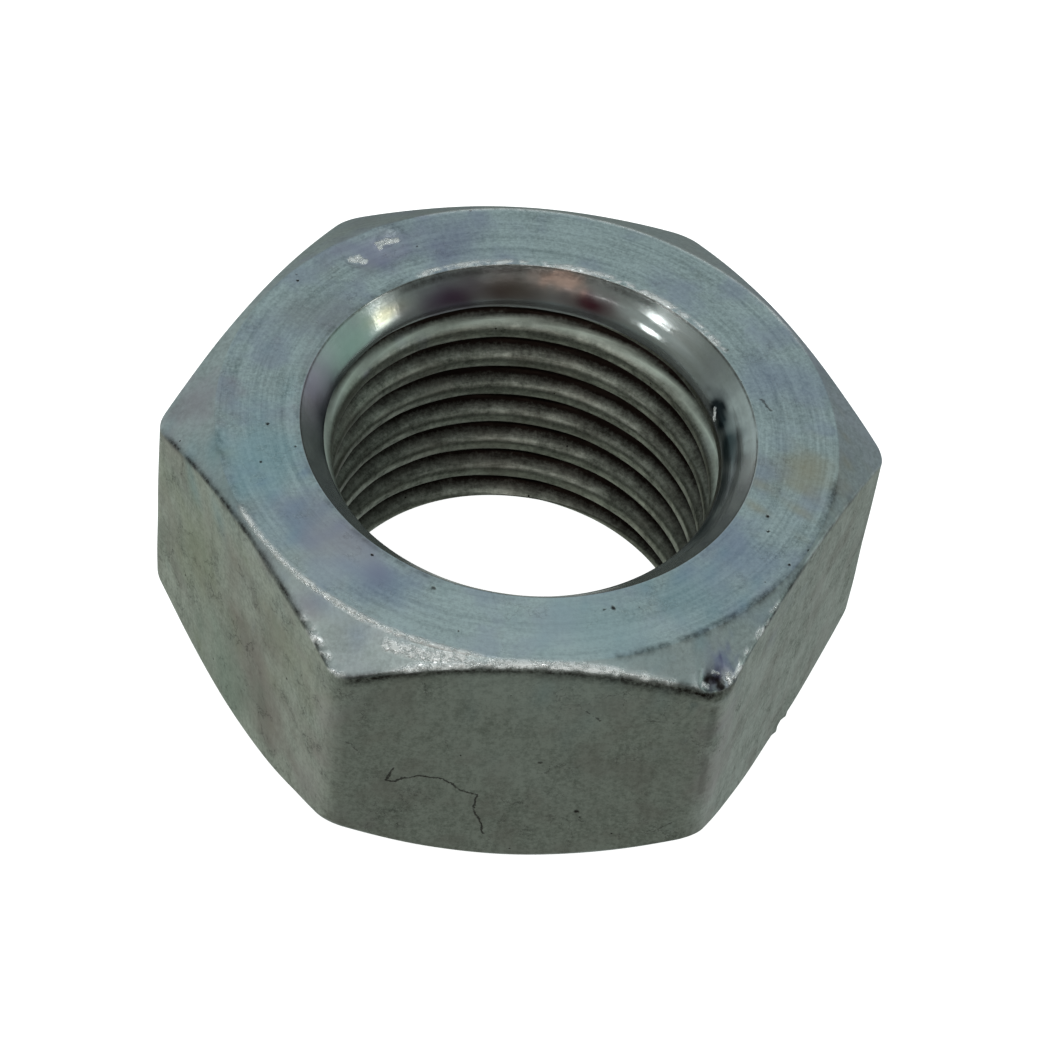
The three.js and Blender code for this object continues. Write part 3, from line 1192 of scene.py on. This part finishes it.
    def darkness(self, tree: Tree, layers: Layers) -> Socket:
        """The share of the dark colour: grime and painted shade, broken up by the grain, and the pits.

        Args:
            tree: the node tree.
            layers: the finish's patterns.

        Returns:
            The share of the dark colour.
        """
        dirt_and_shade = add(tree, "Attribute", out="Fac", attribute_name="dirt_and_shade")
        left = {"To Min": 1 - self.dirt_shade_breakup, "To Max": 1.0}
        patchy = add(
            tree, "MapRange", {"Value": layers.fine, "From Min": 0.3, "From Max": 0.62, **left}, "Result"
        )
        broken = add(tree, "Math", {0: dirt_and_shade, 1: patchy}, operation="MULTIPLY")
        dark = add(tree, "Math", {0: broken, 1: layers.pits}, operation="MAXIMUM")
        return add(tree, "Math", {0: dark, 1: self.dirt_shade_cover}, operation="MULTIPLY")

    def roughness(self, tree: Tree, layers: Layers) -> Socket:
        """Cloudy places are duller, the pits are dull right through, and painted glints shine.

        Args:
            tree: the node tree.
            layers: the finish's patterns.

        Returns:
            The surface's roughness.
        """
        mixed = add(tree, "Math", {0: layers.clouds, 1: layers.grain}, operation="MULTIPLY")
        spread = add(
            tree, "MapRange",
            {"Value": mixed, "From Max": 0.6, "To Min": self.smooth, "To Max": self.rough}, "Result",
        )
        dulled = add(
            tree, "Math", {0: layers.pits, 1: self.pit_dullness, 2: spread}, operation="MULTIPLY_ADD"
        )
        return add(
            tree, "Math", {0: layers.glint, 1: -self.glint_gloss, 2: dulled},
            operation="MULTIPLY_ADD", use_clamp=True,
        )

    def relief(self, tree: Tree, layers: Layers) -> Socket:
        """Grain, cloudy unevenness, burrs and pits as height, each with its depth in millimetres.

        Args:
            tree: the node tree.
            layers: the finish's patterns.

        Returns:
            The bumped normal; the pits sink and everything else rises.
        """
        steps = (
            (layers.grain, self.grain_relief, False),
            (layers.clouds, self.cloud_relief, False),
            (layers.glint, self.burr_relief, False),
            (layers.pits, self.pit_relief, True),
        )
        normal = {}
        for height, depth, sunk in steps:
            inputs = {"Height": height, "Distance": depth * MM, **normal}
            normal = {"Normal": add(tree, "Bump", inputs, "Normal", invert=sunk)}
        return normal["Normal"]


@dataclass(frozen=True)
class TurnedPlate(ZincPlate):
    """Faced on a lathe before plating: fine rings round the axis, which catch the light as arcs.

    The rings of a facing tool stand about 0.1 mm apart, too fine to show, so they are drawn at
    the ring spacing instead.
    """

    ring_spacing: float = 0.26
    swirl: float = 1.6

    def grain(self, tree: Tree, place: Socket) -> Socket:
        """Rings of uneven strength, long in the round and one ring spacing wide.

        Args:
            tree: the node tree.
            place: the place in millimetres.

        Returns:
            The rings' strength, from 0 to 1.
        """
        where = self.polar(tree, place, self.swirl, 1 / self.ring_spacing, 0.0)
        inputs = {"Vector": where, "Scale": 1.0, "Detail": 3.0, "Roughness": 0.7}
        return add(tree, "TexNoise", inputs, "Fac")


@dataclass(frozen=True)
class TappedPlate(ZincPlate):
    """Cut by a tap: streaks and small tears that follow the turns of the thread."""

    streak_spacing: float = 0.3
    swirl: float = 6.0

    def grain(self, tree: Tree, place: Socket) -> Socket:
        """Streaks along the turns, from the radius and the height together.

        Args:
            tree: the node tree.
            place: the place in millimetres.

        Returns:
            The streaks' strength, from 0 to 1.
        """
        where = self.polar(tree, place, self.swirl, 1 / self.streak_spacing, 1 / self.streak_spacing)
        inputs = {"Vector": where, "Scale": 1.0, "Detail": 4.0, "Roughness": 0.7}
        return add(tree, "TexNoise", inputs, "Fac")


@dataclass(frozen=True)
class DrawnPlate(ZincPlate):
    """Hexagon bar drawn through a die and sheared: long scuffs and a scaly, mottled skin."""

    streak: Point = (1.6, 1.6, 0.5)
    distortion: float = 0.4

    def grain(self, tree: Tree, place: Socket) -> Socket:
        """Scuffs that are longer up the nut than across it.

        Args:
            tree: the node tree.
            place: the place in millimetres.

        Returns:
            The scuffs' strength, from 0 to 1.
        """
        stretched = add(tree, "VectorMath", {0: place, 1: self.streak}, "Vector", operation="MULTIPLY")
        inputs = {"Vector": stretched, "Scale": 1.0, "Detail": 6.0, "Roughness": 0.7}
        return add(tree, "TexNoise", {**inputs, "Distortion": self.distortion}, "Fac")


FLAT_MARKS = (
    Mark(((-5.73, -15, 8.34), (-5.99, -15, 7.4), (-5.6, -15, 7.35), (-5.3, -15, 7.65), (-4.5, -15, 7.85),
          (-3.5, -15, 7.7), (-2.85, -15, 7.25), (-2.6, -15, 6.9), (-1.8, -15, 6.55), (-1.84, -15, 5.5),
          (-1.45, -15, 4.5), (-1.26, -15, 3.75)), 0.095, 0.8),
    Mark(((8.25, -14.93, 13.3), (8.4, -14.88, 11.2)), 0.34, 0.24),
    Mark(((8.35, -14.9, 9.9), (8.5, -14.84, 7.2)), 0.3, 0.2),
    Mark(((-8.6, -15, 10.3), (-7.7, -15, 10.0), (-7.2, -15, 9.3)), 0.07, 0.5),
    Mark(((7.4, -15, 5.0), (6.3, -15, 4.0)), 0.08, 0.5),
    Mark(((2.94, -15, 5.6),), 0.2),
    Mark(((3.17, -15, 5.15),), 0.16),
    Mark(((0.88, -15, 9.2),), 0.17, 0.7),
    Mark(((2.6, -15, 13.0), (3.3, -15, 12.4)), 0.07, 0.6),
    Mark(((4.9, -15, 12.6), (6.6, -15, 12.4)), 0.07, 0.5),
)
FACE_MARKS = (
    Mark(((3.6, -11.48, 16),), 0.16),
    Mark(((3.2, -11.6, 16),), 0.09, 0.7),
    Mark(((8.57, -12.61, 16),), 0.13),
    Mark(((-4.44, -10.76, 16),), 0.16, 0.8),
    Mark(((-12.11, -1.14, 16),), 0.13),
    Mark(((10.95, -5.49, 16),), 0.12),
    Mark(((10.94, -6.42, 16),), 0.1),
    Mark(((12.8, -7.47, 16),), 0.17),
    Mark(((9.3, 5.5, 16), (9.8, 5.2, 16)), 0.1, 0.6),
    Mark(((11.2, 2.0, 16), (11.6, 1.3, 16)), 0.1, 0.6),
)
FACE_GLINTS = (
    Mark(((-8.35, 10.3, 15.85), (-8.0, 10.45, 15.8), (-7.75, 10.25, 15.8)), 0.3, 1.8),
    Mark(((-7.05, 11.5, 15.87), (-6.65, 11.75, 15.85), (-6.15, 11.8, 15.9)), 0.22, 1.8),
    Mark(((-6.9, 11.6, 15.87), (-6.95, 11.2, 15.87)), 0.17, 1.4),
)
CHAMFER_MARKS = (
    Mark(((7.9, -14.45, 14.85), (8.35, -14.35, 14.8), (8.5, -14.6, 14.6)), 0.34),
)
CHAMFER_GLINTS = (
    Mark(((7.5, -14.75, 14.75), (7.85, -14.65, 14.75)), 0.22, 1.4),
    Mark(((8.85, -14.35, 14.6), (8.75, -14.0, 14.8)), 0.14, 1.1),
    Mark(((8.05, -14.1, 14.95), (8.35, -14.1, 14.9)), 0.12, 1.2),
    Mark(((-6.4, -13.9, 15.7), (-4.8, -14.4, 15.72), (-3.2, -14.6, 15.78)), 0.42, 1.1),
)
MOUTH_GLINTS = (Mark(((9.15, 2.55, 14.6), (9.2, 2.2, 14.35)), 0.16, 1.8),)
FINISHES = {
    Region.DRAWN_FLAT: DrawnPlate(
        "drawn_zinc_plate", "c4cac2", "8b9188", 0.42, 0.58,
        cloud_size=2.0, cloud_depth=0.18, grain_depth=0.42, fine_depth=0.4,
        tint="a59e98", tint_size=2.2, tint_depth=0.35, grain_relief=0.012,
        pit_spacing=1.6, pit_size=0.05, crackle=0.34, crackle_size=1.9, dark_marks=FLAT_MARKS,
    ),
    Region.CORNER_CHAMFER: ZincPlate(
        "chamfer_zinc_plate", "bcc6c5", "8f9796", 0.36, 0.54,
        cloud_size=1.6, cloud_depth=0.3, grain_relief=0.006,
        tint="a0a3ac", tint_size=2.6, tint_depth=0.3,
        dark_marks=CHAMFER_MARKS, glint_marks=CHAMFER_GLINTS,
    ),
    Region.TURNED_FACE: TurnedPlate(
        "turned_zinc_plate", "c8d6d4", "909e9e", 0.3, 0.46,
        cloud_size=2.2, cloud_depth=0.25, grain_depth=0.55, fine_depth=0.36,
        tint="9ca2ba", tint_size=2.4, tint_depth=0.4, grain_relief=0.005,
        pit_spacing=1.5, pit_size=0.06, crackle=0.16, crackle_size=1.9,
        dark_marks=FACE_MARKS, glint_marks=FACE_GLINTS,
    ),
    Region.COUNTERSINK: TurnedPlate(
        "polished_zinc_plate", "b8c0be", "8a918e", 0.14, 0.26,
        cloud_size=1.4, cloud_depth=0.35, grain_depth=0.3, fine_depth=0.1,
        tint_depth=0.25, metal_share=0.74, grain_relief=0.002, cloud_relief=0.004,
        ring_spacing=0.3, pit_spacing=3.0, pit_size=0.04, glint_marks=MOUTH_GLINTS,
    ),
    Region.THREAD: TappedPlate(
        "tapped_zinc_plate", "b6baae", "62665d", 0.42, 0.62,
        cloud_size=1.2, cloud_depth=0.4, grain_depth=0.5,
        tint="8f8a80", tint_depth=0.4, dirt_shade_breakup=0.15, grain_relief=0.01,
        pit_spacing=1.4, pit_size=0.04,
    ),
}


# ---- studio ------------------------------------------------------------------------------


def direction(azimuth: float, elevation: float) -> Point:
    """The unit vector towards an azimuth and an elevation; azimuth 0 is +X and 90 is +Y."""
    turn, tilt = math.radians(azimuth), math.radians(elevation)
    return (math.cos(turn) * math.cos(tilt), math.sin(turn) * math.cos(tilt), math.sin(tilt))


@dataclass(frozen=True)
class SoftBox:
    """One studio light, aimed at the nut from a direction, in degrees, metres and watts."""

    name: str
    azimuth: float
    elevation: float
    distance: float
    width: float
    height: float
    power: float

    def build(self) -> None:
        """Hangs the light; azimuth 0 is on +X and 90 on +Y, as seen from above."""
        data = bpy.data.lights.new(self.name, "AREA")
        data.shape = "RECTANGLE"
        data.size = self.width
        data.size_y = self.height
        data.energy = self.power
        lamp = bpy.data.objects.new(self.name, data)
        away = Vector(direction(self.azimuth, self.elevation))
        lamp.location = away * self.distance
        lamp.rotation_mode = "QUATERNION"
        lamp.rotation_quaternion = away.to_track_quat("Z", "Y")
        bpy.context.scene.collection.objects.link(lamp)


@dataclass(frozen=True)
class Camera:
    """Where the viewer stands, in millimetres and degrees."""

    place: Point = (-12.68, -109.59, 129.12)
    turn: float = -6.897
    elevation: float = 47.511
    roll: float = 7.675
    lens: float = 115.76
    sensor: float = 36.0
    nearest: float = 5.0
    farthest: float = 10000.0

    def build(self) -> None:
        """Makes the scene's camera, level first, then rolled about its own line of sight."""
        turn, tilt, roll = (math.radians(a) for a in (self.turn, self.elevation, self.roll))
        spin = Matrix.Rotation(turn, 3, "Z")
        right = spin @ Vector((1, 0, 0))
        rise = spin @ Vector((0, math.sin(tilt), math.cos(tilt)))
        back = spin @ Vector((0, -math.cos(tilt), math.sin(tilt)))
        rolled_right = right * math.cos(roll) + rise * math.sin(roll)
        rolled_rise = rise * math.cos(roll) - right * math.sin(roll)
        axes = Matrix((rolled_right, rolled_rise, back)).transposed()
        data = bpy.data.cameras.new("camera")
        data.sensor_width = self.sensor
        data.lens = self.lens
        data.clip_start = self.nearest * MM
        data.clip_end = self.farthest * MM
        camera = bpy.data.objects.new("camera", data)
        camera.matrix_world = Matrix.Translation(Vector(self.place) * MM) @ axes.to_4x4()
        bpy.context.scene.collection.objects.link(camera)
        bpy.context.scene.camera = camera


@dataclass(frozen=True)
class Glow:
    """A broad soft tone of the room round one direction, out to a reach, in degrees."""

    azimuth: float
    elevation: float
    reach: float
    colour: str


@dataclass(frozen=True)
class Studio:
    """Floor, surroundings and lights; the floor reaches out in metres."""

    floor_reach: float = 3.0
    floor_tone: str = "f4f4f4"
    floor_light: float = 0.9
    room_tone: str = "757a74"
    glows: tuple[Glow, ...] = (
        Glow(90, 90, 75, "9ca6a6"),
        Glow(83, 47, 60, "abb6b9"),
        Glow(-150, 62, 40, "b8c0be"),
        Glow(150, -48, 60, "b4bab2"),
        Glow(30, -48, 60, "a3aaa8"),
        Glow(136, 3, 40, "c0cccc"),
        Glow(44, -5, 32, "9a9ea8"),
        Glow(5, 14, 26, "acc6bc"),
        Glow(-95, 30, 50, "77746e"),
    )
    boxes: tuple[SoftBox, ...] = (
        SoftBox("right_lamp", -13, 22, 0.45, 0.05, 0.09, 0.08),
        SoftBox("left_lamp", -153, 28, 0.45, 0.06, 0.07, 0.08),
        SoftBox("front_strip", -98, 53, 0.45, 0.36, 0.035, 0.23),
        SoftBox("top_lamp", 150, 72, 0.45, 0.12, 0.12, 0.1),
    )

    def build(self) -> None:
        """Lays the floor and sets the world and the lights."""
        self.lay_floor()
        self.surround()
        for box in self.boxes:
            box.build()

    def lay_floor(self) -> None:
        """A plain pale floor under the nut: matt white board, lit from within so it stays even.

        Shiny metal sees the dim room below it instead, because the floor is kept out of gloss.
        """
        reach = self.floor_reach
        ends = [(-reach, -reach, 0), (reach, -reach, 0), (reach, reach, 0), (-reach, reach, 0)]
        mesh = bpy.data.meshes.new("floor")
        mesh.from_pydata(ends, [], [(0, 1, 2, 3)])
        material = bpy.data.materials.new("pale_floor")
        material.use_nodes = True
        shader = material.node_tree.nodes["Principled BSDF"]
        shader.inputs["Base Color"].default_value = linear(self.floor_tone)
        shader.inputs["Roughness"].default_value = 0.9
        shader.inputs["Specular IOR Level"].default_value = 0.1
        shader.inputs["Emission Color"].default_value = linear("ffffff")
        shader.inputs["Emission Strength"].default_value = self.floor_light
        mesh.materials.append(material)
        floor = bpy.data.objects.new("floor", mesh)
        floor.visible_glossy = False
        bpy.context.scene.collection.objects.link(floor)

    def surround(self) -> None:
        """A soft grey room: an even dim tone, with each glow mixed over it by how near it faces."""
        world = bpy.data.worlds.new("room")
        world.use_nodes = True
        tree = world.node_tree
        toward = add(tree, "TexCoord", out="Generated")
        total = linear(self.room_tone)
        for glow in self.glows:
            centre = direction(glow.azimuth, glow.elevation)
            facing = add(tree, "VectorMath", {0: toward, 1: centre}, operation="DOT_PRODUCT")
            edge = math.cos(math.radians(glow.reach))
            share = add(
                tree, "MapRange", {"Value": facing, "From Min": edge, "From Max": 1.0}, "Result",
                interpolation_type="SMOOTHSTEP",
            )
            mixed = {"Factor": share, "A": total, "B": linear(glow.colour)}
            total = add(tree, "Mix", mixed, "Result", data_type="RGBA")
        tree.links.new(total, tree.nodes["Background"].inputs["Color"])
        bpy.context.scene.world = world


def main() -> None:
    """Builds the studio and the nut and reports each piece."""
    Camera().build()
    LOG.info("camera: placed")
    Studio().build()
    LOG.info("studio: floor, room and lights")
    low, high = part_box(NUT_NODE)
    sizes = NutSizes(across_flats=(high[1] - low[1]) / MM, height=(high[2] - low[2]) / MM)
    nut = HexNut(sizes).build()
    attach(nut, "root")
    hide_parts(NUT_NODE)
    LOG.info("hex_nut: %d faces", len(nut.data.polygons))
    bpy.context.scene.view_settings.view_transform = "Standard"


if __name__ == "__main__":
    main()
